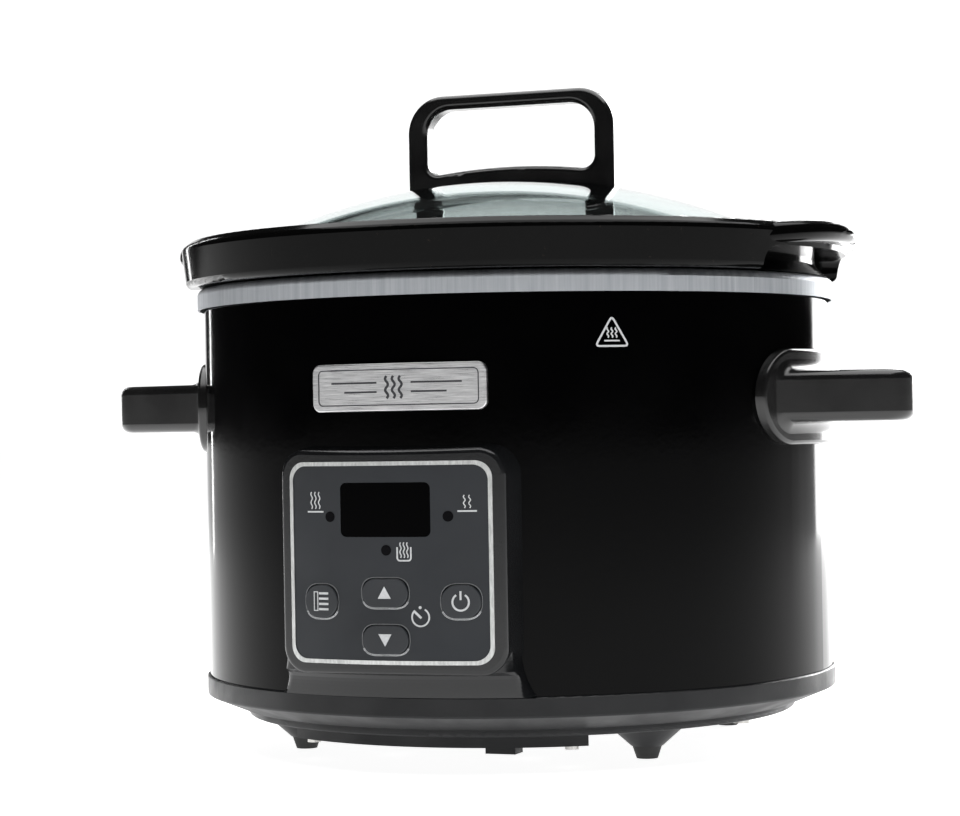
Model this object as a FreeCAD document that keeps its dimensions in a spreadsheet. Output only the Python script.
import FreeCAD, Part
import math
import os
import re

import Sketcher
from FreeCAD import Placement, Rotation, Vector

# A compact round slow cooker. The frame: +Z up, the front (control panel) towards -Y,
# the side handles along X, the origin on the table under the middle of the pot.

doc = FreeCAD.newDocument("SlowCooker")
sheet = doc.addObject("Spreadsheet::Sheet", "Sizes")
pieces = []

# Every driving dimension, in millimetres or degrees: alias and value.
SIZES = {
    # Outer shell, brushed band and base ring.
    "body_radius": 112.0,
    "shell_gauge": 0.7,
    "shell_bottom": 23.5,
    "shell_flange_inner": 104.0,
    "band_radius": 114.4,
    "band_gauge": 0.8,
    "band_bottom": 154.5,
    "band_top": 162.7,
    "band_inner": 103.0,
    "hem_radius": 0.75,
    "ring_radius": 113.0,
    "ring_top": 25.7,
    "ring_edge": 19.0,
    "ring_foot_radius": 100.0,
    "ring_foot_height": 13.7,
    "ring_inner": 87.0,
    "ring_wall": 2.4,
    # Heating well and what is wrapped round it.
    "well_inner": 99.0,
    "well_gauge": 0.9,
    "well_floor": 52.5,
    "heater_gauge": 1.6,
    "heater_bottom": 70.0,
    "heater_top": 118.0,
    "clamp_gauge": 0.6,
    "clamp_bottom": 90.0,
    "clamp_top": 98.0,
    "blanket_outer": 105.6,
    "blanket_bottom": 74.0,
    "blanket_top": 138.0,
    # Crock.
    "crock_radius": 96.5,
    "crock_wall": 8.0,
    "crock_bottom": 55.0,
    "crock_floor": 9.0,
    "rim_seat": 163.0,
    "rim_low_radius": 118.2,
    "rim_radius": 119.8,
    "rim_top": 179.4,
    "ridge_outer": 116.5,
    "ridge_inner": 111.5,
    "seat_radius": 107.0,
    "seat_height": 167.4,
    "neck_radius": 108.0,
    "shoulder_radius": 112.6,
    "lug_angle": 25.5,
    "lug_reach": 126.4,
    "lug_bottom": 171.2,
    "lug_top": 178.6,
    # Glass lid and its handle.
    "glass_sphere": 212.0,
    "glass_top": 200.6,
    "glass_thickness": 4.0,
    "glass_radius": 105.5,
    "loop_half_width": 39.5,
    "loop_top": 233.0,
    "loop_bar": 5.0,
    "loop_leg": 7.2,
    "loop_base_bar": 5.5,
    "loop_depth": 9.0,
    "loop_outer_corner": 13.5,
    "loop_inner_corner": 9.5,
    "lid_screw_spacing": 66.0,
    # Side handles.
    "handle_height": 120.7,
    "handle_reach": 149.5,
    "handle_bar": 17.2,
    "handle_flange_height": 32.5,
    "handle_flange_width": 93.0,
    "handle_flange_proud": 3.2,
    "handle_tip_width": 56.0,
    # Control panel.
    "panel_radius": 123.0,
    "panel_width": 76.4,
    "panel_root_width": 80.5,
    "panel_bottom": 34.0,
    "panel_top": 105.4,
    "panel_corner": 8.0,
    "panel_wall": 1.4,
    "skirt_bottom": 25.9,
    "skirt_spread": 4.5,
    "trim_width": 70.5,
    "trim_bottom": 37.0,
    "trim_top": 101.8,
    "trim_corner": 5.5,
    "trim_line": 1.3,
    "trim_proud": 0.2,
    "fascia_depth": 1.5,
    "window_width": 31.2,
    "window_height": 17.4,
    "window_centre": 86.4,
    "window_corner": 2.0,
    "light_diameter": 3.4,
    "button_proud": 0.7,
    "button_gap": 0.35,
    "button_travel": 0.7,
    "board_front": 115.0,
    "board_thickness": 1.6,
    "switch_height": 1.0,
    # Badge.
    "badge_width": 61.0,
    "badge_height": 15.6,
    "badge_centre": 125.6,
    "badge_corner": 3.0,
    "badge_proud": 1.5,
    # Base cover, feet and the electronics cover.
    "cover_radius": 98.5,
    "cover_bottom": 11.0,
    "boss_top_radius": 14.2,
    "boss_tip_radius": 5.4,
    "foot_circle": 80.0,
    "foot_height": 4.2,
    "foot_radius": 5.0,
    "foot_tip_radius": 3.6,
    "pod_outer": 95.0,
    "pod_inner": 61.0,
    "pod_angle": 33.6,
    "pod_bottom": 7.3,
    "pod_wall": 2.0,
    # Ribbon cable to the control board, and the cord gland at the back.
    "ribbon_side": 22.5,
    "ribbon_width": 10.0,
    "gland_height": 40.0,
    "gland_reach": 123.7,
    "gland_bore": 3.7,
    "gland_radius": 7.2,
    "gland_square": 14.6,
    "gland_flange_radius": 11.0,
}

for row, (alias, number) in enumerate(SIZES.items(), start=1):
    sheet.set(f"A{row}", alias.replace("_", " "))
    sheet.set(f"B{row}", str(number))
    sheet.setAlias(f"B{row}", alias)
doc.recompute()


def linked(text):
    """Turn size names in an expression into references to the sheet's cells."""
    return re.sub(r"[a-z_]+", lambda word: "Sizes." + word[0] if word[0] in SIZES else word[0], str(text))


def size(text):
    """The number that an expression of size names comes to."""
    return float(sheet.evalExpression(linked(text)))


def bind(thing, **properties):
    """Bind properties of an object to expressions of the sheet's sizes."""
    for name, text in properties.items():
        thing.setExpression(name, linked(text))


def keep(thing, name):
    """Name a finished sub-part: its Label is also its file's name."""
    thing.Label = name
    pieces.append(thing)
    return thing


def shaped(name, shape):
    """A sub-part whose shape is worked out from the sheet's sizes by Part's functions."""
    feature = doc.addObject("Part::Feature", name)
    feature.Shape = shape
    return keep(feature, name)


# --- Sketched pieces -------------------------------------------------------------------

def new_sketch(body, name, plane_role):
    """A sketch on one of the body's own origin planes."""
    sketch = body.newObject("Sketcher::SketchObject", name)
    plane = next(item for item in body.Origin.OriginFeatures if item.Role == plane_role)
    sketch.AttachmentSupport = (plane, [""])
    sketch.MapMode = "FlatFace"
    return sketch


def draw_outline(sketch, corners):
    """Draw a closed outline whose corners are pairs of expressions, each bound to the sheet."""
    places = [Vector(size(across), size(up), 0) for across, up in corners]
    count = len(places)
    for index in range(count):
        sketch.addGeometry(Part.LineSegment(places[index], places[(index + 1) % count]), False)
    for index in range(count):
        sketch.addConstraint(Sketcher.Constraint("Coincident", index, 2, (index + 1) % count, 1))
    for index, corner in enumerate(corners):
        for kind, axis, text in (("DistanceX", -2, corner[0]), ("DistanceY", -1, corner[1])):
            if size(text) == 0:
                sketch.addConstraint(Sketcher.Constraint("PointOnObject", index, 1, axis))
                continue
            number = sketch.addConstraint(Sketcher.Constraint(kind, -1, 1, index, 1, size(text)))
            label = f"{kind}{index}"
            sketch.renameConstraint(number, label)
            sketch.setExpression("Constraints." + label, linked(text))


def turned(name, corners, rounds=()):
    """A body turned about Z. Its corners are (radius, height); rounds are (radius, height, fillet)."""
    body = doc.addObject("PartDesign::Body", name)
    sketch = new_sketch(body, name + "_section", "XZ_Plane")
    draw_outline(sketch, corners)
    last = body.newObject("PartDesign::Revolution", name + "_turn")
    last.Profile = sketch
    last.ReferenceAxis = (sketch, ["V_Axis"])
    last.Angle = 360
    doc.recompute()
    for index, (radius, height, fillet) in enumerate(rounds):
        rounding = body.newObject("PartDesign::Fillet", f"{name}_round{index}")
        rounding.Base = (last, circular_edges(last.Shape, size(radius), size(height)))
        bind(rounding, Radius=fillet)
        last = rounding
        doc.recompute()
    return body


def is_circle(edge, radius=None):
    """Whether an edge is a circular arc, of this radius if one is given."""
    if edge.Degenerated or not isinstance(edge.Curve, Part.Circle):
        return False
    return radius is None or abs(edge.Curve.Radius - radius) < 0.01


def circular_edges(shape, radius, height):
    """Names of the level circular edges with this radius at this height."""
    found = []
    for index, edge in enumerate(shape.Edges, start=1):
        if is_circle(edge, radius) and abs(edge.Curve.Center.z - height) < 0.01:
            found.append(f"Edge{index}")
    return found


# --- Primitives and booleans -----------------------------------------------------------

def rod(name, radius, length, start=(0, 0, 0), direction=(0, 0, 1)):
    """A cylinder from a start point along a direction."""
    cylinder = doc.addObject("Part::Cylinder", name)
    bind(cylinder, Radius=radius, Height=length)
    turn = Rotation(Vector(0, 0, 1), Vector(*direction))
    cylinder.Placement = Placement(Vector(*map(size, start)), turn)
    return cylinder


def cone(name, radius_low, radius_high, length, start=(0, 0, 0)):
    """An upright cone from a start point."""
    piece = doc.addObject("Part::Cone", name)
    bind(piece, Radius1=radius_low, Radius2=radius_high, Height=length)
    piece.Placement = Placement(Vector(*map(size, start)), Rotation())
    return piece


def block(name, centre, length, width, height):
    """A box that stands on the middle of its lower face."""
    piece = doc.addObject("Part::Box", name)
    bind(piece, Length=length, Width=width, Height=height)
    across, back, low = map(size, centre)
    piece.Placement = Placement(Vector(across - size(length) / 2, back - size(width) / 2, low), Rotation())
    return piece


def joined(name, things):
    """Several objects fused into one."""
    fusion = doc.addObject("Part::MultiFuse", name)
    fusion.Shapes = things
    return fusion


def without(name, base, tools):
    """A base object with tools cut out of it."""
    tool = tools[0] if len(tools) == 1 else joined(name + "_tools", tools)
    cut = doc.addObject("Part::Cut", name)
    cut.Base = base
    cut.Tool = tool
    return cut


def grouped(name, things):
    """Separate identical solids kept together in one sub-part."""
    group = doc.addObject("Part::Compound", name)
    group.Links = things
    return keep(group, name)


def around(angle, radius, height):
    """A point on a circle about Z; angle 0 is the front, positive towards +X."""
    turn = math.radians(angle)
    return (radius * math.sin(turn), -radius * math.cos(turn), height)


def screws(name, places, head_radius, head_height, shank_radius, shank_length):
    """A set of pan-head screws: each place is (point under the head, direction of the shank)."""
    made = []
    for index, (point, direction) in enumerate(places):
        back = tuple(-part for part in direction)
        head = rod(f"{name}_head{index}", head_radius, head_height, point, back)
        shank = rod(f"{name}_shank{index}", shank_radius, shank_length, point, direction)
        made.append(joined(f"{name}_{index}", [head, shank]))
    return grouped(name, made)


# --- Shell, band, ring and heating well ------------------------------------------------

def make_shell():
    """Painted steel wall with an inward flange at its foot, and its openings."""
    inner = "body_radius - shell_gauge"
    wall = turned("shell_wall", [
        ("shell_flange_inner", "shell_bottom"), ("body_radius", "shell_bottom"),
        ("body_radius", "band_top - 2"), (inner, "band_top - 2"),
        (inner, "shell_bottom + shell_gauge"), ("shell_flange_inner", "shell_bottom + shell_gauge"),
    ])
    holes = [block("shell_ribbon_slot", ("ribbon_side", "-body_radius", 38), "14", "24", "9")]
    holes.append(block("shell_gland_hole", (0, 110, "gland_height - gland_square / 2 - 0.1"),
                       "gland_square + 0.2", "20", "gland_square + 0.2"))
    for index, (across, height) in enumerate(PANEL_SCREWS):
        holes.append(rod(f"shell_panel_hole{index}", "1.6", "30", (across, -90, height), (0, -1, 0)))
    for index, (side, back) in enumerate(HANDLE_SCREWS):
        holes.append(rod(f"shell_handle_hole{index}", "2.2", "30", (side * 95, back, "handle_height"),
                         (side, 0, 0)))
    for index, across in enumerate(BADGE_STUDS):
        holes.append(rod(f"shell_badge_hole{index}", "1.3", "30", (across, -95, "badge_centre"),
                         (0, -1, 0)))
    return keep(without("outer_shell_cut", wall, holes), "outer_shell")


def make_band():
    """Brushed band: a wall with a rolled hem at its foot and a flange that carries the crock."""
    inner = "band_radius - band_gauge"
    wall = turned("band_wall", [
        ("band_radius", "band_bottom + hem_radius"), ("band_radius", "band_top"),
        ("band_inner", "band_top"), ("band_inner", "band_top - band_gauge"),
        (inner, "band_top - band_gauge"), (inner, "band_bottom + hem_radius"),
    ], [("band_radius", "band_top", "2.4"), (inner, "band_top - band_gauge", "1.6")])
    hem = doc.addObject("Part::Torus", "band_hem")
    bind(hem, Radius1="band_radius - hem_radius + 0.25", Radius2="hem_radius")
    hem.Placement = Placement(Vector(0, 0, size("band_bottom + hem_radius")), Rotation())
    return keep(joined("band_joined", [wall, hem]), "top_band")


def make_ring():
    """Moulded ring that the shell stands in."""
    ring = turned("base_ring", [
        ("ring_inner", "ring_foot_height"), ("ring_foot_radius", "ring_foot_height"),
        ("ring_radius", "ring_edge"), ("ring_radius", "ring_top"),
        ("body_radius + 0.1", "ring_top"), ("body_radius + 0.1", "shell_bottom"),
        ("body_radius - 4", "shell_bottom"), ("body_radius - 4", "ring_edge + 1.2"),
        ("ring_foot_radius - 1", "ring_foot_height + ring_wall"),
        ("ring_inner", "ring_foot_height + ring_wall"),
    ], [("ring_radius", "ring_edge", "0.8"), ("ring_radius", "ring_top", "0.5"),
        ("ring_foot_radius", "ring_foot_height", "1.5")])
    ring.Label = "base_ring_blank"
    posts = [rod(f"ring_post{index}", "4", "8", around(angle, 92, 14)) for index, angle in
             enumerate(BASE_SCREW_ANGLES)]
    cores = [rod(f"ring_core{index}", "1.5", "12", around(angle, 92, 12)) for index, angle in
             enumerate(BASE_SCREW_ANGLES)]
    return keep(without("ring_drilled", joined("ring_with_posts", [ring] + posts), cores), "base_ring")


def make_well():
    """Drawn pot that the crock hangs in, with the stud that ties the body together."""
    outer = "well_inner + well_gauge"
    well = turned("well_pot", [
        (0, "well_floor"), (outer, "well_floor"), (outer, "band_top - band_gauge - well_gauge"),
        ("body_radius - 1.5", "band_top - band_gauge - well_gauge"),
        ("body_radius - 1.5", "band_top - band_gauge"), ("well_inner", "band_top - band_gauge"),
        ("well_inner", "well_floor + well_gauge"), (0, "well_floor + well_gauge"),
    ], [(outer, "well_floor", "9"), ("well_inner", "well_floor + well_gauge", "8.1")])
    keep(well, "heating_well")


def sleeve(name, radius_inner, radius_outer, low, high, gap_angle=0, gap_at=0):
    """A thin tube round the well, open over a gap where its ends meet."""
    tube = turned(name + "_tube", [(radius_inner, low), (radius_outer, low),
                                   (radius_outer, high), (radius_inner, high)])
    if not gap_angle:
        return keep(tube, name)
    wedge = doc.addObject("Part::Cylinder", name + "_gap")
    bind(wedge, Radius=f"({radius_outer}) + 10", Height=f"({high}) - ({low}) + 10")
    wedge.Angle = gap_angle
    turn = Rotation(Vector(0, 0, 1), gap_at - 90 - gap_angle / 2)
    wedge.Placement = Placement(Vector(0, 0, size(low) - 5), turn)
    return keep(without(name + "_open", tube, [wedge]), name)


def make_heater():
    """Band heater, the strap that pulls it tight, and the blanket round both."""
    well_outer = "well_inner + well_gauge"
    heater_outer = well_outer + " + heater_gauge"
    clamp_outer = heater_outer + " + clamp_gauge"
    sleeve("band_heater", well_outer, heater_outer, "heater_bottom", "heater_top", 8, 180)
    strap = sleeve("clamp_strap", heater_outer, clamp_outer, "clamp_bottom", "clamp_top", 6, 180)
    pieces.remove(strap)
    lugs = []
    for side in (-1, 1):
        lugs.append(block(f"clamp_lug{side}", (side * 6.4, 105, "clamp_bottom"), "1", "7", "8"))
    holes = [rod("clamp_lug_hole", "1.2", "30", (-15, 106.3, "(clamp_bottom + clamp_top) / 2"), (1, 0, 0))]
    keep(without("clamp_drilled", joined("clamp_joined", [strap] + lugs), holes), "heater_clamp")
    bolt_start = (-6.9, 106.3, "(clamp_bottom + clamp_top) / 2")
    screws("clamp_screw", [(bolt_start, (1, 0, 0))], "2.4", "1.8", "1.2", "16")
    sleeve("insulation_blanket", clamp_outer + " + 0.3", "blanket_outer", "blanket_bottom",
           "blanket_top", 18, 180)


def make_tie():
    """Threaded stud under the well, its spring washer and nut, and the thermal parts beside it."""
    keep(rod("tie_stud_rod", "2.5", "well_floor - 8.2", (0, 0, "8.2")), "tie_stud")
    washer = without("tie_washer_cut", rod("tie_washer_disc", "5.5", "1.2", (0, 0, "cover_bottom - 1.2")),
                     [rod("tie_washer_hole", "2.5", "4", (0, 0, "cover_bottom - 2"))])
    keep(washer, "tie_spring_washer")
    nut = doc.addObject("Part::Prism", "tie_nut_prism")
    nut.Polygon = 6
    bind(nut, Circumradius="4.6", Height="1.9")
    nut.Placement = Placement(Vector(0, 0, size("cover_bottom - 3.1")), Rotation())
    keep(without("tie_nut_cut", nut, [rod("tie_nut_hole", "2.5", "6", (0, 0, "6"))]), "tie_nut")
    keep(block("sensor_plate", (0, 22, "well_floor - 1.2"), "26", "12", "1.2"), "sensor_bracket")
    keep(rod("sensor_rod", "2.5", "9", (-4.5, 22, "well_floor - 3.8"), (1, 0, 0)), "temperature_sensor")
    fuse = joined("fuse_joined", [
        rod("fuse_body", "2", "11", (24.5, -12, "well_floor - 2"), (1, 0, 0)),
        rod("fuse_pin", "0.5", "23", (18.5, -12, "well_floor - 2"), (1, 0, 0))])
    keep(fuse, "thermal_fuse")
    clip = without("fuse_clip_cut", block("fuse_clip_block", (30, -12, "well_floor - 4.8"), "6", "9", "4.8"),
                   [rod("fuse_clip_hole", "2", "8", (26, -12, "well_floor - 2"), (1, 0, 0)),
                    block("fuse_clip_mouth", (30, -12, "well_floor - 2"), "8", "4", "2")])
    keep(clip, "thermal_fuse_clip")


# --- Base cover, feet and the electronics cover ----------------------------------------

def make_base():
    """Cover plate with four conical bosses, the rubber feet, and the pod under the front."""
    plate = turned("cover_plate", [
        ("3", "cover_bottom"), ("cover_radius", "cover_bottom"), ("cover_radius", "ring_foot_height"),
        ("3", "ring_foot_height"),
    ], [("cover_radius", "cover_bottom", "1.6")])
    bosses = []
    sockets = []
    feet = []
    for name, angle in FEET.items():
        low = around(angle, size("foot_circle"), size("foot_height"))
        bosses.append(cone(f"boss_{name}", "boss_tip_radius", "boss_top_radius",
                           "cover_bottom - foot_height + 1", low))
        sockets.append(rod(f"socket_{name}", "2", "4", low))
        pad = cone(f"foot_pad_{name}", "foot_tip_radius", "foot_radius", "foot_height", low[:2] + (0,))
        pin = rod(f"foot_pin_{name}", "2", "4", low)
        feet.append((joined(f"foot_joined_{name}", [pad, pin]), f"foot_{name}"))
    for index, (across, back) in enumerate(BOARD_PILLARS):
        bosses.append(rod(f"pillar{index}", "2.6", POWER_BOARD_HEIGHT - 13, (across, back, 13)))
        sockets.append(rod(f"pillar_core{index}", "1.1", 6, (across, back, POWER_BOARD_HEIGHT - 5.5)))
    holes = [block("cover_window", (-2, -72, 10), "52", "18", "5")]
    for index, angle in enumerate(BASE_SCREW_ANGLES):
        holes.append(rod(f"cover_screw_hole{index}", "1.6", "5", around(angle, 92, 10)))
    for index, (angle, radius) in enumerate(POD_SCREWS):
        holes.append(rod(f"cover_pod_hole{index}", "1.3", "5", around(angle, radius, 10)))
    for index in range(VENT_COUNT):
        turn = (index - (VENT_COUNT - 1) / 2) * VENT_PITCH + 180
        holes.append(block(f"cover_vent{index}", around(turn, 40, 10), "3", "22", "5"))
    holes += sockets
    keep(without("cover_drilled", joined("cover_with_bosses", [plate] + bosses), holes), "base_cover")
    for foot, name in feet:
        keep(foot, name)
    places = [(around(angle, 92, size("cover_bottom")), (0, 0, 1)) for angle in BASE_SCREW_ANGLES]
    screws("base_screws", places, "2.8", "1.5", "1.5", "9")
    make_pod()


def sector(name, radius_inner, radius_outer, angle, low, high):
    """A piece of a ring, centred on the front, this many degrees to each side."""
    ring = turned(name + "_ring", [(radius_inner, low), (radius_outer, low),
                                   (radius_outer, high), (radius_inner, high)])
    wedge = doc.addObject("Part::Cylinder", name + "_wedge")
    bind(wedge, Radius=f"({radius_outer}) + 1", Height=f"({high}) - ({low})", Angle=f"2 * ({angle})")
    wedge.Placement = Placement(Vector(0, 0, size(low)), Rotation(Vector(0, 0, 1), -90 - size(angle)))
    common = doc.addObject("Part::MultiCommon", name)
    common.Shapes = [ring, wedge]
    return common


def make_pod():
    """Electronics cover: a shallow tray screwed under the front of the base."""
    outside = sector("pod_outside", "pod_inner", "pod_outer", "pod_angle", "pod_bottom", "cover_bottom")
    inside = sector("pod_inside", "pod_inner + pod_wall", "pod_outer - pod_wall", "pod_angle - 1.5",
                    "pod_bottom + pod_wall", "cover_bottom + 1")
    pad = block("pod_pad", around(16.5, 89, size("pod_bottom - 2.3")), "10.5", "7", "3")
    posts = [rod(f"pod_post{index}", "3", "3", around(angle, radius, size("pod_bottom + 0.5")))
             for index, (angle, radius) in enumerate(POD_SCREWS)]
    holes = [rod(f"pod_hole{index}", "1.3", "8", around(angle, radius, 6))
             for index, (angle, radius) in enumerate(POD_SCREWS)]
    tray = without("pod_tray", outside, [inside])
    keep(without("pod_drilled", joined("pod_joined", [tray, pad] + posts), holes), "electronics_cover")
    places = [(around(angle, radius, size("pod_bottom")), (0, 0, 1)) for angle, radius in POD_SCREWS]
    screws("electronics_cover_screws", places, "2.3", "1.3", "1.3", "5.5")


# --- Crock and lid ---------------------------------------------------------------------

def make_crock():
    """Glazed stoneware pot that hangs by its rim, with a finger lug at each side."""
    inner = "crock_radius - crock_wall"
    pot = turned("crock_pot", [
        (0, "crock_bottom"), ("crock_radius", "crock_bottom"), ("crock_radius", "rim_seat"),
        ("rim_low_radius", "rim_seat"), ("rim_radius", "rim_top - 2.4"), ("ridge_outer", "rim_top"),
        ("ridge_inner", "rim_top"), ("seat_radius", "seat_height + 3"), ("seat_radius", "seat_height"),
        (inner, "seat_height - 3"), (inner, "crock_bottom + crock_floor"),
        (0, "crock_bottom + crock_floor"),
    ], [("crock_radius", "crock_bottom", "10"), (inner, "crock_bottom + crock_floor", "12"),
        ("rim_low_radius", "rim_seat", "2.5"), ("rim_radius", "rim_top - 2.4", "2.2"),
        ("ridge_outer", "rim_top", "2"), ("ridge_inner", "rim_top", "2.5"),
        (inner, "seat_height - 3", "3")])
    doc.recompute()
    shape = pot.Shape
    for side in (-1, 1):
        shape = shape.cut(finger_recess(side)).fuse(finger_lug(side))
    shaped("crock", shape.removeSplitter())


def finger_recess(side):
    """What is cut from under the rim: a swept groove whose ends curl up into the rim."""
    low = size("rim_seat") - 1
    top = size("lug_bottom")
    shoulder = size("shoulder_radius")
    neck = size("neck_radius")
    seat = size("rim_seat")
    beyond = 140
    outline = [Vector(shoulder, 0, low), Vector(shoulder, 0, seat), Vector(neck, 0, seat + 4.5),
               Vector(neck, 0, top), Vector(beyond, 0, top), Vector(beyond, 0, low)]
    face = Part.Face(Part.makePolygon(outline + outline[:1]))
    half = size("lug_angle")
    face.rotate(Vector(), Vector(0, 0, 1), -half)
    groove = face.revolve(Vector(), Vector(0, 0, 1), 2 * half)
    ends = [edge for edge in groove.Edges if edge.BoundBox.ZMin > top - 0.01
            and abs(edge.Length - (beyond - neck)) < 0.1]
    groove = groove.makeFillet(RECESS_CURL, ends)
    if side < 0:
        groove.rotate(Vector(), Vector(0, 0, 1), 180)
    return groove


def finger_lug(side):
    """The crescent that a finger holds: a rounded rim section, tilted up towards its tip."""
    half = math.radians(size("lug_angle"))
    reach = size("lug_reach")
    corner_x = size("rim_radius") * math.cos(half) - 0.5
    corner_y = size("rim_radius") * math.sin(half)
    centre = (corner_x ** 2 + corner_y ** 2 - reach ** 2) / (2 * (corner_x - reach))
    radius = reach - centre
    low = size("lug_bottom")
    top = size("lug_top")
    disc = Part.makeCylinder(radius, top - low, Vector(centre, 0, low))
    lug = disc.makeFillet(LUG_NOSE, [edge for edge in disc.Edges if is_circle(edge)])
    lug.rotate(Vector(size("ridge_outer") - 8, 0, low), Vector(0, 1, 0), -LUG_TILT)
    inside = Part.makeCylinder(size("ridge_outer") - 3, 80, Vector(0, 0, low - 40))
    behind = Part.makeBox(300, 300, 80, Vector(-300 + size("ridge_outer") * 0.85, -150, low - 40))
    lug = lug.cut(inside).cut(behind)
    if side < 0:
        lug.rotate(Vector(), Vector(0, 0, 1), 180)
    return lug


def dome_centre():
    """Middle of the sphere that the outside of the glass follows."""
    return Vector(0, 0, size("glass_top - glass_sphere"))


def make_lid():
    """Domed glass with a ground edge, the loop handle and its two screws."""
    outer = Part.makeSphere(size("glass_sphere"), dome_centre())
    inner = Part.makeSphere(size("glass_sphere - glass_thickness"), dome_centre())
    disc = Part.makeCylinder(size("glass_radius"), 60, Vector(0, 0, 150))
    glass = outer.cut(inner).common(disc)
    rims = [edge for edge in glass.Edges if is_circle(edge, size("glass_radius"))]
    glass = glass.makeFillet(GLASS_EDGE_ROUND, rims)
    for side in (-1, 1):
        across = side * size("lid_screw_spacing") / 2
        glass = glass.cut(Part.makeCylinder(2.5, 40, Vector(across, 0, 180)))
    shaped("lid_glass", glass)
    make_loop(outer)
    washers = []
    places = []
    spacer_top = "glass_top - 7.2"
    for side in (-1, 1):
        across = f"{side} * lid_screw_spacing / 2"
        cup = rod(f"washer_cup{side}", "5.2", "7", (across, 0, spacer_top + " - 6.6"))
        hole = rod(f"washer_hole{side}", "1.7", "30", (across, 0, spacer_top + " - 15"))
        recess = rod(f"washer_recess{side}", "3.8", "2.4", (across, 0, spacer_top + " - 6.6"))
        dome = doc.addObject("Part::Sphere", f"washer_dome{side}")
        bind(dome, Radius="glass_sphere - glass_thickness - 0.05")
        dome.Placement = Placement(dome_centre(), Rotation())
        blank = without(f"washer_blank{side}", cup, [hole, recess])
        seat = doc.addObject("Part::MultiCommon", f"washer_seat{side}")
        seat.Shapes = [blank, dome]
        washers.append(seat)
        places.append(((across, 0, spacer_top + " - 4.2"), (0, 0, 1)))
    grouped("lid_handle_washers", washers)
    screws("lid_handle_screws", places, "3.4", "2", "1.6", "14")


def rounded_plate(width, height, corner, centre):
    """A face in the XZ plane: a rectangle with round corners."""
    half_x = width / 2
    half_z = height / 2
    edges = []
    turn = corner * (1 - math.sqrt(0.5))
    ring = [(1, 1), (-1, 1), (-1, -1), (1, -1)]
    for index, (side, up) in enumerate(ring):
        outer = Vector(side * half_x, 0, up * half_z)
        first = outer - Vector(side * corner, 0, 0)
        second = outer - Vector(0, 0, up * corner)
        middle = outer - Vector(side * turn, 0, up * turn)
        if side == up:
            first, second = second, first
        edges.append(Part.Arc(first, middle, second).toShape())
        following = ring[(index + 1) % 4]
        start = Vector(following[0] * half_x, 0, following[1] * half_z)
        if following[0] == following[1]:
            end = start - Vector(0, 0, following[1] * corner)
        else:
            end = start - Vector(following[0] * corner, 0, 0)
        if (end - second).Length > 1e-6:
            edges.append(Part.makeLine(second, end))
    face = Part.Face(Part.Wire(edges))
    face.translate(centre)
    return face


def make_loop(dome):
    """Lid handle: one rounded loop whose foot follows the glass."""
    depth = size("loop_depth")
    top = size("loop_top")
    half = size("loop_half_width")
    outer = rounded_plate(2 * half, 60, size("loop_outer_corner"), Vector(0, -depth / 2, top - 30))
    frame = outer.extrude(Vector(0, depth, 0))
    inner_half = half - size("loop_leg")
    hole_top = top - size("loop_bar")
    hole = rounded_plate(2 * inner_half, 60, size("loop_inner_corner"), Vector(0, -depth, hole_top - 30))
    hole = hole.extrude(Vector(0, 2 * depth, 0))
    arched = Part.makeCylinder(size("glass_sphere + loop_base_bar"), 2 * depth,
                               dome_centre() - Vector(0, depth, 0), Vector(0, 1, 0))
    hole = hole.cut(arched)
    corners = [edge for edge in hole.Edges if abs(edge.BoundBox.YLength - 2 * depth) < 0.1
               and edge.BoundBox.XLength < 0.1 and edge.BoundBox.ZMax < hole_top - 12]
    hole = hole.makeFillet(LOOP_LOW_ROUND, corners)
    handle = frame.cut(hole).cut(dome)
    borders = [edge for edge in handle.Edges if edge.BoundBox.YLength < 0.01
               and edge.BoundBox.ZMin > size("glass_top") - 2.5 and not on_dome(edge)]
    handle = handle.makeFillet(LOOP_ROUND, borders)
    for side in (-1, 1):
        across = side * size("lid_screw_spacing") / 2
        handle = handle.cut(Part.makeCylinder(1.65, 10, Vector(across, 0, 194)))
    shaped("lid_handle", handle)


def on_dome(edge):
    """Whether an edge lies on the outside of the glass."""
    middle = edge.valueAt((edge.FirstParameter + edge.LastParameter) / 2)
    return abs((middle - dome_centre()).Length - size("glass_sphere")) < 0.05


# --- Control panel ---------------------------------------------------------------------

def curved(face, radius_inner, radius_outer):
    """The part of a front outline's prism that lies between two cylinders about Z."""
    prism = face.extrude(Vector(0, -45, 0))
    prism.translate(Vector(0, -90, 0))
    shell = Part.makeCylinder(radius_outer, 260)
    if radius_inner > 0:
        shell = shell.cut(Part.makeCylinder(radius_inner, 260))
    return prism.common(shell)


def trim_face(inset):
    """The outline of the frame line, drawn in by an inset."""
    low = size("trim_bottom") + inset
    high = size("trim_top") - inset
    corner = size("trim_corner") - inset * 0.5
    return rounded_plate(size("trim_width") - 2 * inset, high - low, corner, Vector(0, 0, (low + high) / 2))


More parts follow.
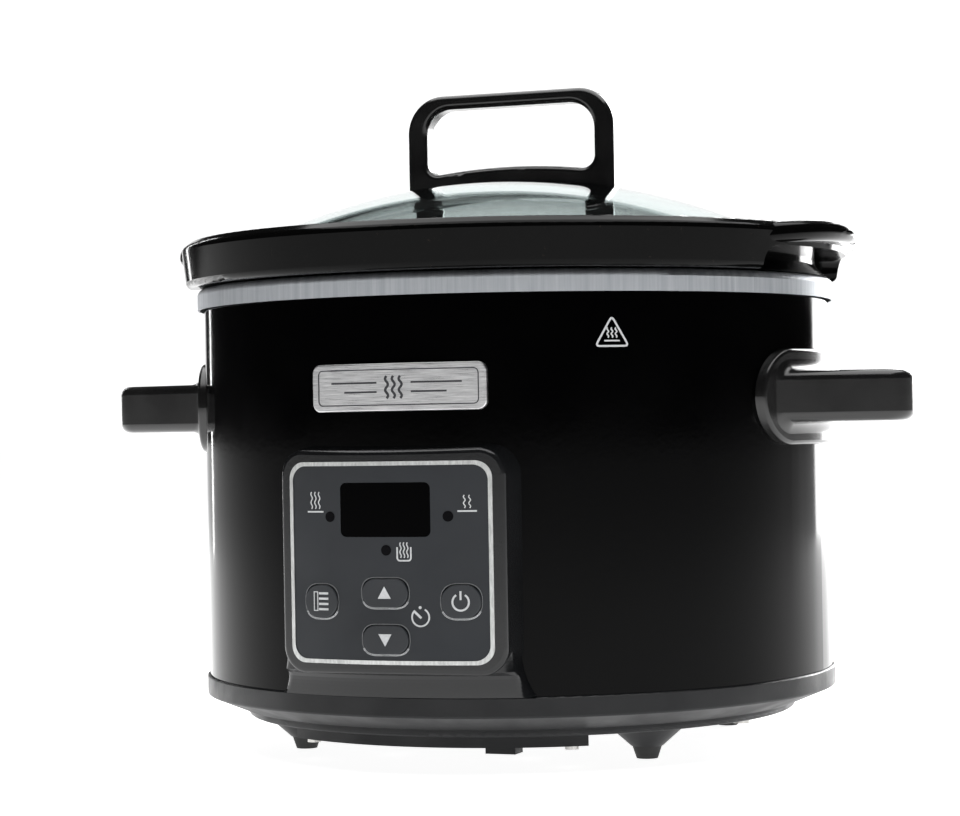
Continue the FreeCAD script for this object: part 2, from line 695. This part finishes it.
def make_bezel():
    """Panel housing: a curved box with drafted sides that stands on a flared skirt."""
    low = size("panel_bottom")
    high = size("panel_top")
    middle = Vector(0, 0, (low + high) / 2)
    grow = size("panel_root_width - panel_width") / 2
    front = rounded_plate(size("panel_width"), high - low, size("panel_corner"), middle)
    root = rounded_plate(size("panel_root_width"), high - low + 2 * grow, size("panel_corner") + grow, middle)
    front.translate(Vector(0, -size("panel_radius") - 0.5, 0))
    root.translate(Vector(0, -size("body_radius") + 9, 0))
    box = Part.makeLoft([front.OuterWire, root.OuterWire], True, True)
    box = box.common(Part.makeCylinder(size("panel_radius"), 200))
    crown = [edge for edge in box.Edges if edge_radius(edge) > size("panel_radius") - 0.02]
    box = box.makeFillet(BEZEL_ROUND, crown)
    box = box.fuse(make_skirt()).removeSplitter()
    box = box.cut(Part.makeCylinder(size("body_radius") + 0.15, 200))
    wall = size("panel_wall")
    hollow = rounded_plate(size("panel_width") - 5, high - low - 5, size("panel_corner") - 2.5, middle)
    inner_face = size("panel_radius - fascia_depth") - wall
    box = box.cut(curved(hollow, 0, inner_face))
    box = box.cut(curved(trim_face(0), size("panel_radius - fascia_depth"), 140))
    for across, height in PANEL_SCREWS:
        post = Part.makeCylinder(3.2, 20, Vector(across, -120, height), Vector(0, 1, 0))
        post = post.common(Part.makeCylinder(inner_face + 0.5, 200))
        post = post.cut(Part.makeCylinder(size("body_radius") + 0.15, 200))
        bore = Part.makeCylinder(1.3, 24, Vector(across, -92, height), Vector(0, -1, 0))
        box = box.fuse(post).cut(bore.cut(front_wall(inner_face)))
    for opening in openings(size("button_gap")):
        box = box.cut(curved(opening, inner_face - 1, 140))
    shaped("panel_bezel", box)


def front_wall(radius):
    """Everything outside a radius, so that a bore stops short of the face."""
    return Part.makeCylinder(200, 260).cut(Part.makeCylinder(radius, 260))


def edge_radius(edge):
    """How far from the Z axis an edge's nearest sampled point is."""
    first, last = edge.FirstParameter, edge.LastParameter
    points = [edge.valueAt(first + (last - first) * step / 4) for step in range(5)]
    return min(math.hypot(point.x, point.y) for point in points)


def make_skirt():
    """Foot of the panel: coves in under the housing and spreads sideways onto the base ring."""
    low = size("skirt_bottom")
    high = size("panel_bottom") + SKIRT_HIDDEN
    half = size("panel_root_width") / 2 - 1
    sections = []
    for step in range(SKIRT_STEPS + 1):
        fall = step / SKIRT_STEPS
        height = high + (low - high) * fall
        width = half + size("skirt_spread") * fall ** 2.5
        cove = max(0.0, (size("panel_bottom") - height) / (size("panel_bottom") - low))
        reach = size("panel_radius") - 1.4 - SKIRT_COVE * math.sqrt(1 - (1 - cove) ** 2)
        sections.append(arc_section(width, reach, size("body_radius") - 6, height))
    return Part.makeLoft(sections, True, True)


def arc_section(half_width, reach, back, height):
    """A level outline: an arc about Z in front, rounded at its ends, and a straight back."""
    corner = 4.0
    turn = math.asin((half_width - corner) / (reach - corner))
    centre = Vector((reach - corner) * math.sin(turn), -(reach - corner) * math.cos(turn), height)
    start = Vector(reach * math.sin(turn), -reach * math.cos(turn), height)
    bend = (turn + math.pi / 2) / 2
    middle = centre + Vector(corner * math.sin(bend), -corner * math.cos(bend), 0)
    side = centre + Vector(corner, 0, 0)
    heel = Vector(side.x, -math.sqrt(back ** 2 - side.x ** 2), height)
    edges = []
    edges.append(Part.Arc(mirrored(start), Vector(0, -reach, height), start).toShape())
    edges.append(Part.Arc(start, middle, side).toShape())
    edges.append(Part.makeLine(side, heel))
    edges.append(Part.makeLine(heel, mirrored(heel)))
    edges.append(Part.makeLine(mirrored(heel), mirrored(side)))
    edges.append(Part.Arc(mirrored(side), mirrored(middle), mirrored(start)).toShape())
    return Part.Wire(edges)


def mirrored(point):
    """The same point on the other side of the middle plane."""
    return Vector(-point.x, point.y, point.z)


def window_face(grow):
    """Outline of the display window, drawn out by a gap."""
    return rounded_plate(size("window_width") + 2 * grow, size("window_height") + 2 * grow,
                         size("window_corner") + grow, Vector(0, 0, size("window_centre")))


def button_face(name, grow):
    """Outline of a button, drawn out by a gap."""
    across, height, width, tall, corner = BUTTONS[name]
    return rounded_plate(width + 2 * grow, tall + 2 * grow, corner + grow, Vector(across, 0, height))


def light_face(across, height, grow):
    """Outline of an indicator light."""
    radius = size("light_diameter") / 2 + grow
    circle = Part.Circle(Vector(across, 0, height), Vector(0, 1, 0), radius)
    return Part.Face(Part.Wire(circle.toShape()))


def openings(grow):
    """Outlines of everything that shows through the fascia."""
    faces = [window_face(0)]
    faces += [button_face(name, grow) for name in BUTTONS]
    faces += [light_face(across, height, 0) for across, height in LIGHTS]
    return faces


def make_panel_faces():
    """Frame line, fascia, display window and indicator lights."""
    back = size("panel_radius - fascia_depth")
    face = size("panel_radius")
    line = size("trim_line")
    ring = curved(trim_face(0), back, face + size("trim_proud"))
    shaped("panel_frame_line", ring.cut(curved(trim_face(line), 0, 140)))
    fascia = curved(trim_face(line), back, face)
    for opening in openings(size("button_gap")):
        fascia = fascia.cut(curved(opening, 0, 140))
    shaped("panel_fascia", fascia)
    shaped("display_window", curved(window_face(0), back - size("panel_wall"), face - 0.1))
    board = size("board_front")
    lights = []
    for across, height in LIGHTS:
        bar = curved(light_face(across, height, 0), 0, face + 0.15)
        bar = bar.common(Part.makeBox(200, 40, 200, Vector(-100, -board - 41.2, 0)))
        lights.append(bar)
    shaped("light_guides", Part.makeCompound(lights))


def make_buttons():
    """Four sprung buttons: a cap in the fascia, a flange behind the wall and a stem to its switch."""
    inner_face = size("panel_radius - fascia_depth - panel_wall")
    contact = size("board_front + switch_height + button_travel") + 0.3
    for name, (across, height, width, tall, corner) in BUTTONS.items():
        cap = curved(button_face(name, 0), inner_face - 0.2, size("panel_radius + button_proud"))
        rims = [edge for edge in cap.Edges if edge_radius(edge) > size("panel_radius + button_proud") - 0.02]
        cap = cap.makeFillet(BUTTON_ROUND, rims)
        stem = Part.makeCylinder(1.6, 12, Vector(across, -contact - 12, height), Vector(0, 1, 0))
        stem = stem.common(Part.makeCylinder(inner_face + 1, 200))
        shaped(name, cap.fuse(stem).removeSplitter())


def make_board():
    """Flat control board behind the panel, with its display and switches, and the panel's screws."""
    keep(block("control_board_blank", (0, "board_thickness / 2 - board_front", 41), "58",
               "board_thickness", "56"), "control_board")
    module = joined("module_joined", [
        block("module_body", (0, "-board_front - 2", "window_centre - 7.5"), "28", "4", "15"),
        block("module_pins", (0, "-board_front + 1.2", "window_centre - 6"), "22", "2.4", "1.2")])
    module = without("module_seated", module,
                     [block("module_board_space", (0, "board_thickness / 2 - board_front", 41), "58",
                            "board_thickness", "56")])
    keep(module, "display_module")
    switches = []
    for name, (across, height, width, tall, corner) in BUTTONS.items():
        base = block(f"switch_{name}", (across, "-board_front - 0.3", height - 2.6), "5.2", "0.6", "5.2")
        knob = rod(f"knob_{name}", "1.4", "switch_height", (across, "-board_front", height), (0, -1, 0))
        switches.append(joined(f"switch_joined_{name}", [base, knob]))
    grouped("tact_switches", switches)
    places = []
    for across, height in PANEL_SCREWS:
        head = -math.sqrt(size("body_radius - shell_gauge") ** 2 - (abs(across) + 2.4) ** 2)
        places.append(((across, head, height), (0, -1, 0)))
    screws("panel_screws", places, "2.4", "1.6", "1.3", "7")


# --- Side handles, badge and cord gland ------------------------------------------------

def make_handle(side, name):
    """Side handle: a saddle that follows the shell and a tapered bar that coves into it."""
    face = size("body_radius + handle_flange_proud")
    height = size("handle_height")
    end = rounded_plate(size("handle_flange_width"), size("handle_flange_height"),
                        size("handle_flange_height") / 2 - 0.05, Vector(0, 0, height))
    end.rotate(Vector(), Vector(0, 0, 1), 90)
    saddle = end.extrude(Vector(45, 0, 0))
    saddle.translate(Vector(90, 0, 0))
    saddle = saddle.common(Part.makeCylinder(face, 250))
    rims = [edge for edge in saddle.Edges if edge_radius(edge) > face - 0.02]
    handle = saddle.makeFillet(SADDLE_ROUND, rims).fuse(handle_bar()).removeSplitter()
    inner = [edge for edge in handle.Edges if edge_radius(edge) > face - 0.02
             and edge.BoundBox.XMax < face + 0.02 and abs(edge.CenterOfMass.z - height) < 9]
    handle = handle.makeFillet(HANDLE_COVE, inner)
    handle = handle.cut(Part.makeCylinder(size("body_radius"), 250))
    for screw_side, back in HANDLE_SCREWS:
        if screw_side > 0:
            handle = handle.cut(Part.makeCylinder(1.7, 38, Vector(90, back, height), Vector(1, 0, 0)))
    if side < 0:
        handle.rotate(Vector(), Vector(0, 0, 1), 180)
    shaped(name, handle)


def handle_bar():
    """The bar of a side handle: tapered in plan, its corners and edges well rounded."""
    half_bar = size("handle_bar") / 2
    reach = size("handle_reach")
    tip = size("handle_tip_width") / 2
    root = size("handle_flange_width") / 2 - 2
    low = size("handle_height") - half_bar
    corners = [Vector(90, -root, low), Vector(reach, -tip, low), Vector(reach, tip, low),
               Vector(90, root, low)]
    bar = Part.Face(Part.makePolygon(corners + corners[:1])).extrude(Vector(0, 0, 2 * half_bar))
    posts = [edge for edge in bar.Edges if edge.BoundBox.ZLength > half_bar
             and edge.BoundBox.XMin > reach - 1]
    bar = bar.makeFillet(HANDLE_CORNER, posts)
    borders = [edge for edge in bar.Edges if edge.BoundBox.ZLength < 0.1 and edge.BoundBox.XMax > 91]
    return bar.makeFillet(HANDLE_ROUND, borders)


def make_handle_fixings():
    """Backing plates inside the shell and the screws that hold the handles on."""
    inner = size("body_radius - shell_gauge")
    height = size("handle_height")
    tube = Part.makeCylinder(inner, 250).cut(Part.makeCylinder(inner - PLATE_GAUGE, 250))
    places = []
    for side, word in ((-1, "left"), (1, "right")):
        plate = Part.makeBox(40, 66, 14, Vector(inner - 30, -33, height - 7)).common(tube)
        for screw_side, back in HANDLE_SCREWS:
            if screw_side == side:
                head = math.sqrt((inner - PLATE_GAUGE) ** 2 - (abs(back) + 3) ** 2)
                places.append(((side * head, back, height), (side, 0, 0)))
                plate = plate.cut(Part.makeCylinder(1.9, 40, Vector(90, back, height), Vector(1, 0, 0)))
        if side < 0:
            plate.rotate(Vector(), Vector(0, 0, 1), 180)
        shaped(f"handle_plate_{word}", plate)
    screws("handle_screws", places, "3", "2", "1.6", "20")


def make_badge():
    """Blank name plate with two studs, and the push nuts that hold it."""
    centre = Vector(0, 0, size("badge_centre"))
    face = rounded_plate(size("badge_width"), size("badge_height"), size("badge_corner"), centre)
    outer = size("body_radius + badge_proud")
    plate = curved(face, size("body_radius"), outer)
    rims = [edge for edge in plate.Edges if edge_radius(edge) > outer - 0.02]
    plate = plate.makeFillet(0.5, rims)
    nuts = []
    for across in BADGE_STUDS:
        stud = Part.makeCylinder(1.2, 12, Vector(across, -BADGE_STUD_END, size("badge_centre")), Vector(0, -1, 0))
        stud = stud.common(Part.makeCylinder(outer - 0.5, 250))
        plate = plate.fuse(stud)
        front = math.sqrt(size("body_radius - shell_gauge") ** 2 - (abs(across) + 3) ** 2)
        nut = Part.makeCylinder(3, 0.5, Vector(across, -front + 0.5, size("badge_centre")), Vector(0, -1, 0))
        nuts.append(nut.cut(Part.makeCylinder(1.2, 4, Vector(across, -front + 2, size("badge_centre")),
                                              Vector(0, -1, 0))))
    shaped("badge", plate.removeSplitter())
    shaped("badge_push_nuts", Part.makeCompound(nuts))


def make_gland():
    """Rubber-lined inlet for the mains cord; its square shoulder stops it turning in the shell."""
    height = "gland_height"
    flange = rod("gland_flange", "gland_flange_radius", "3.4", (0, "body_radius - 0.6", height), (0, 1, 0))
    shell = doc.addObject("Part::Cylinder", "gland_shell_space")
    bind(shell, Radius="body_radius", Height="80")
    body = joined("gland_joined", [
        without("gland_flange_seated", flange, [shell]),
        block("gland_shoulder", (0, "body_radius + 0.4", "gland_height - gland_square / 2"),
              "gland_square", "2.4", "gland_square"),
        rod("gland_nose", "gland_radius - 0.2", "gland_reach - 107", (0, 107, height), (0, 1, 0))])
    bore = rod("gland_hole", "gland_bore", "30", (0, 100, height), (0, 1, 0))
    keep(without("gland_cut", body, [bore]), "cord_gland")
    nut = without("gland_nut_cut",
                  rod("gland_nut_disc", "gland_radius + 3", "4", (0, 106.4, height), (0, 1, 0)),
                  [rod("gland_nut_hole", "gland_radius - 0.2", "9", (0, 104, height), (0, 1, 0))])
    keep(nut, "gland_lock_nut")


# --- Power electronics and internal wiring ---------------------------------------------

def make_power():
    """Power board over the pod, on four pillars, with its parts."""
    board = POWER_BOARD_HEIGHT
    top = board + 1.6
    holes = [rod(f"board_hole{index}", "1.2", 4, (across, back, board - 1))
             for index, (across, back) in enumerate(BOARD_PILLARS)]
    blank = block("power_board_blank", (0, -66, board), "76", "34", "1.6")
    keep(without("power_board_drilled", blank, holes), "power_board")
    places = [((across, back, top), (0, 0, -1)) for across, back in BOARD_PILLARS]
    screws("board_screws", places, "2.2", "1.4", "1.1", "6")
    keep(block("relay_block", (-21, -68, top), "16", "20", "15.5"), "relay")
    core = block("transformer_core", (4, -70, top), "24", "20", "20")
    coil = rod("transformer_coil", "8.5", "24", (4, -82, top + 10), (0, 1, 0))
    keep(joined("transformer_joined", [core, coil]), "transformer")
    keep(rod("capacitor_can", "5", "16", (26, -66, top)), "smoothing_capacitor")
    keep(block("terminal_body", (-4, -52.5, top), "22", "7", "9"), "terminal_block")


def routed(route, radius):
    """A round wire: straight runs through chosen points, joined by tangent arcs."""
    points = [Vector(*point) for point in route]
    edges = []
    start = points[0]
    for index in range(1, len(points) - 1):
        before = points[index] - points[index - 1]
        after = points[index + 1] - points[index]
        shorter = min(before.Length, after.Length)
        before.normalize()
        after.normalize()
        trim = 0.45 * shorter
        first = points[index] - before * trim
        last = points[index] + after * trim
        inward = after - before
        inward.normalize()
        turn = before.getAngle(after)
        bend = trim / math.tan(turn / 2)
        middle = points[index] + inward * (bend / math.cos(turn / 2) - bend)
        edges.append(Part.makeLine(start, first))
        edges.append(Part.Arc(first, middle, last).toShape())
        start = last
    edges.append(Part.makeLine(start, points[-1]))
    path = Part.Wire(edges)
    heading = points[1] - points[0]
    ring = Part.Wire(Part.Circle(points[0], heading, radius).toShape())
    return path.makePipeShell([ring], True, False)


def make_wires():
    """Heater leads, sensor lead and the ribbon to the control board."""
    shaped("heater_lead_live", routed(LIVE_LEAD, 1.1))
    shaped("heater_lead_neutral", routed(NEUTRAL_LEAD, 1.1))
    shaped("sensor_lead", routed(SENSOR_LEAD, 0.9))
    shaped("ribbon_cable", ribbon())


def ribbon():
    """Flat cable from the power board through the shell to the control board."""
    board = size("board_front - board_thickness")
    foot = POWER_BOARD_HEIGHT + 1.6
    outline = [(-81.4, foot), (-81.4, 34.0), (-100, 42.0), (-board, 42.0), (-board, 43.0),
               (-99.7, 43.0), (-80.4, 34.7), (-80.4, foot)]
    corners = [Vector(0, back, height) for back, height in outline]
    face = Part.Face(Part.makePolygon(corners + corners[:1]))
    strip = face.extrude(Vector(size("ribbon_width"), 0, 0))
    strip.translate(Vector(size("ribbon_side - ribbon_width / 2"), 0, 0))
    return strip


# --- Places ----------------------------------------------------------------------------

FEET = {"front_right": 52, "front_left": -52, "rear_right": 128, "rear_left": -128}
BASE_SCREW_ANGLES = (75, -75, 160, -160)
POWER_BOARD_HEIGHT = 22.0
POD_SCREWS = ((-30.6, 91.2), (30.6, 91.2), (-22, 65.4), (22, 65.4))
VENT_COUNT = 9
VENT_PITCH = 18
PANEL_SCREWS = ((-33.0, 43.0), (33.0, 43.0), (-33.0, 96.5), (33.0, 96.5))
HANDLE_SCREWS = ((1, -24.0), (1, 24.0), (-1, -24.0), (-1, 24.0))
BADGE_STUDS = (-22.0, 22.0)
BADGE_STUD_END = 107.0
BOARD_PILLARS = ((-34, -76), (34, -76), (-34, -55), (34, -55))
BUTTONS = {
    "button_menu": (-23.1, 57.0, 12.4, 10.7, 5.3),
    "button_up": (0.0, 59.9, 15.9, 9.2, 4.55),
    "button_down": (0.0, 45.0, 15.9, 9.2, 4.55),
    "button_power": (25.1, 57.2, 12.8, 10.7, 5.3),
}
LIGHTS = ((-19.5, 84.2), (21.3, 84.2), (0.6, 73.5))
PLATE_GAUGE = 1.2
RECESS_CURL = 7.0
LUG_NOSE = 3.4
LUG_TILT = 10.0
GLASS_EDGE_ROUND = 1.3
LOOP_LOW_ROUND = 4.5
LOOP_ROUND = 1.9
BEZEL_ROUND = 1.8
SKIRT_STEPS = 14
SKIRT_HIDDEN = 9.0
SKIRT_COVE = 4.5
BUTTON_ROUND = 0.35
SADDLE_ROUND = 1.4
HANDLE_CORNER = 10.0
HANDLE_ROUND = 3.2
HANDLE_COVE = 4.0
LIVE_LEAD = ((-9, -52.5, 32.6), (-9, -52.5, 40), (-26, -50, 44), (-46, -56, 46.5), (-64, -64, 48),
             (-74.2, -70.2, 56), (-73.9, -69, 69.9))
NEUTRAL_LEAD = ((1, -52.5, 32.6), (1, -52.5, 40), (20, -47, 44.5), (42, -52, 46), (64, -60, 47),
                (77.2, -67.4, 56), (76.3, -67.2, 69.9))
SENSOR_LEAD = ((4.5, 22, 48.7), (12, 22, 48.7), (20, 12, 45), (20, -10, 41), (18, -34, 37),
               (18, -52, 33), (18, -52, 23.6))


# --- Assembly --------------------------------------------------------------------------

make_shell()
make_band()
make_ring()
make_well()
make_heater()
make_tie()
make_base()
make_crock()
make_lid()
make_bezel()
make_panel_faces()
make_buttons()
make_board()
for handle_side, handle_name in ((-1, "side_handle_left"), (1, "side_handle_right")):
    make_handle(handle_side, handle_name)
make_handle_fixings()
make_badge()
make_gland()
make_power()
make_wires()
doc.recompute()

for thing in doc.Objects:
    if "Invalid" in thing.State or "Error" in thing.State:
        raise RuntimeError(f"{thing.Name} failed: {thing.State}")
for piece in pieces:
    if piece.Shape.isNull() or not piece.Shape.isValid() or not piece.Shape.Solids:
        raise RuntimeError(f"{piece.Label} has no valid solid")

os.makedirs("parts", exist_ok=True)
for piece in pieces:
    piece.Shape.exportStep(f"parts/{piece.Label}.step")
print(len(pieces), "sub-parts written")
